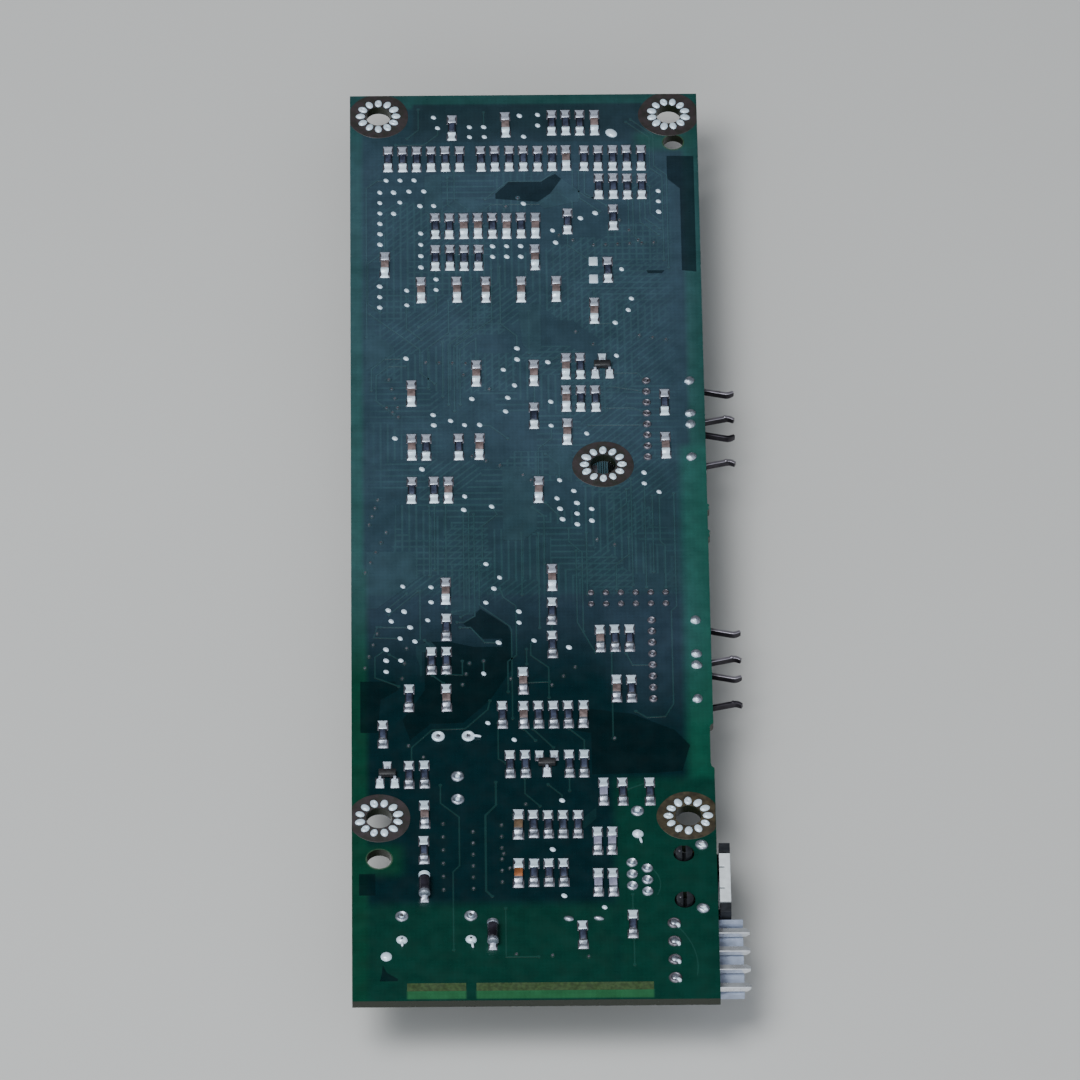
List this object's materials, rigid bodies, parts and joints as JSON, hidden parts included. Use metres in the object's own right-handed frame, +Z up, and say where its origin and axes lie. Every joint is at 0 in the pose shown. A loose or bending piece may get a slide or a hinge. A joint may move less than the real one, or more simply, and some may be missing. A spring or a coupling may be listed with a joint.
{
  "type": "control board with edge connectors",
  "caption": "Long populated control circuit board for a residual current device, solder side up, with modular jack, power header and sprung plug ports on one edge.",
  "frame": {"origin": "under the middle of the whole object, on the surface that its tallest component-side parts stand on", "axes": "+X towards the connector edge, +Y towards the short edge away from the power header, +Z up out of the solder side"},
  "size_m": [0.0662, 0.208, 0.0142],
  "materials": {
    "board_mask": "glossy green solder mask over glass laminate",
    "black_plastic": "moulded, fine grain",
    "white_plastic": "moulded, smooth",
    "nylon": "translucent bluish white",
    "tinned_metal": "tinned",
    "spring_steel": "dark spring sheet",
    "can_sleeve": "shrink sleeve",
    "film_case": "dipped case",
    "aluminium_can": "drawn can",
    "chip_epoxy": "moulded epoxy",
    "ferrite": "ground ferrite",
    "solder": "wetted solder",
    "resistor_body": "dark glazed top",
    "capacitor_body": "fired tan ceramic",
    "bare_laminate": "bare glass laminate"
  },
  "bodies": {
    "board": {"circuit_board": "board_mask", "jack_housing": "black_plastic", "jack_front_frame": "white_plastic", "jack_ground_clip_1": "tinned_metal", "jack_ground_clip_2": "tinned_metal", "jack_contact_1": "tinned_metal", "jack_contact_2": "tinned_metal", "jack_contact_3": "tinned_metal", "jack_contact_4": "tinned_metal", "jack_contact_5": "tinned_metal", "jack_contact_6": "tinned_metal", "power_wafer": "nylon", "power_pin_1": "tinned_metal", "power_pin_2": "tinned_metal", "power_pin_3": "tinned_metal", "power_pin_4": "tinned_metal", "port_block_upper": "black_plastic", "port_block_lower": "black_plastic", "signal_pin_1": "tinned_metal", "signal_pin_2": "tinned_metal", "signal_pin_3": "tinned_metal", "signal_pin_4": "tinned_metal", "signal_pin_5": "tinned_metal", "signal_pin_6": "tinned_metal", "signal_pin_7": "tinned_metal", "signal_pin_8": "tinned_metal", "signal_pin_9": "tinned_metal", "signal_pin_10": "tinned_metal", "signal_pin_11": "tinned_metal", "signal_pin_12": "tinned_metal", "signal_pin_13": "tinned_metal", "signal_pin_14": "tinned_metal", "signal_pin_15": "tinned_metal", "signal_pin_16": "tinned_metal", "pin_header": "black_plastic", "radial_capacitor_1": "can_sleeve", "radial_capacitor_2": "can_sleeve", "film_capacitor": "film_case", "line_choke": "ferrite", "controller_chip": "chip_epoxy", "memory_chip": "chip_epoxy", "driver_chip_1": "chip_epoxy", "driver_chip_2": "chip_epoxy", "regulator": "chip_epoxy", "crystal": "aluminium_can", "power_inductor": "ferrite", "can_capacitor_1": "aluminium_can", "can_capacitor_2": "aluminium_can"},
    "leaf_1": {"grip_leaf_1": "spring_steel"},
    "leaf_2": {"grip_leaf_2": "spring_steel"},
    "leaf_3": {"grip_leaf_3": "spring_steel"},
    "leaf_4": {"grip_leaf_4": "spring_steel"},
    "leaf_5": {"grip_leaf_5": "spring_steel"},
    "leaf_6": {"grip_leaf_6": "spring_steel"},
    "leaf_7": {"grip_leaf_7": "spring_steel"},
    "leaf_8": {"grip_leaf_8": "spring_steel"}
  },
  "joints": [
    {"name": "leaf_1_flex", "type": "hinge", "parent": "board", "child": "leaf_1", "pos_m": [0.0254, 0.0352, 0.0109], "axis": [0, 0, 1], "range_deg": [0, 5], "stiffness_Nm_per_rad": 0.03},
    {"name": "leaf_2_flex", "type": "hinge", "parent": "board", "child": "leaf_2", "pos_m": [0.0254, 0.02758, 0.0109], "axis": [0, 0, 1], "range_deg": [-5, 0], "stiffness_Nm_per_rad": 0.03},
    {"name": "leaf_3_flex", "type": "hinge", "parent": "board", "child": "leaf_3", "pos_m": [0.0254, 0.02504, 0.0109], "axis": [0, 0, 1], "range_deg": [0, 5], "stiffness_Nm_per_rad": 0.03},
    {"name": "leaf_4_flex", "type": "hinge", "parent": "board", "child": "leaf_4", "pos_m": [0.0254, 0.01742, 0.0109], "axis": [0, 0, 1], "range_deg": [-5, 0], "stiffness_Nm_per_rad": 0.03},
    {"name": "leaf_5_flex", "type": "hinge", "parent": "board", "child": "leaf_5", "pos_m": [0.0254, -0.0201, 0.0109], "axis": [0, 0, 1], "range_deg": [0, 5], "stiffness_Nm_per_rad": 0.03},
    {"name": "leaf_6_flex", "type": "hinge", "parent": "board", "child": "leaf_6", "pos_m": [0.0254, -0.02772, 0.0109], "axis": [0, 0, 1], "range_deg": [-5, 0], "stiffness_Nm_per_rad": 0.03},
    {"name": "leaf_7_flex", "type": "hinge", "parent": "board", "child": "leaf_7", "pos_m": [0.0254, -0.03026, 0.0109], "axis": [0, 0, 1], "range_deg": [0, 5], "stiffness_Nm_per_rad": 0.03},
    {"name": "leaf_8_flex", "type": "hinge", "parent": "board", "child": "leaf_8", "pos_m": [0.0254, -0.03788, 0.0109], "axis": [0, 0, 1], "range_deg": [-5, 0], "stiffness_Nm_per_rad": 0.03}
  ],
  "couplings": [
    {"joint": "leaf_2_flex", "follows": "leaf_1_flex", "ratio": -1},
    {"joint": "leaf_4_flex", "follows": "leaf_3_flex", "ratio": -1},
    {"joint": "leaf_6_flex", "follows": "leaf_5_flex", "ratio": -1},
    {"joint": "leaf_8_flex", "follows": "leaf_7_flex", "ratio": -1}
  ]
}
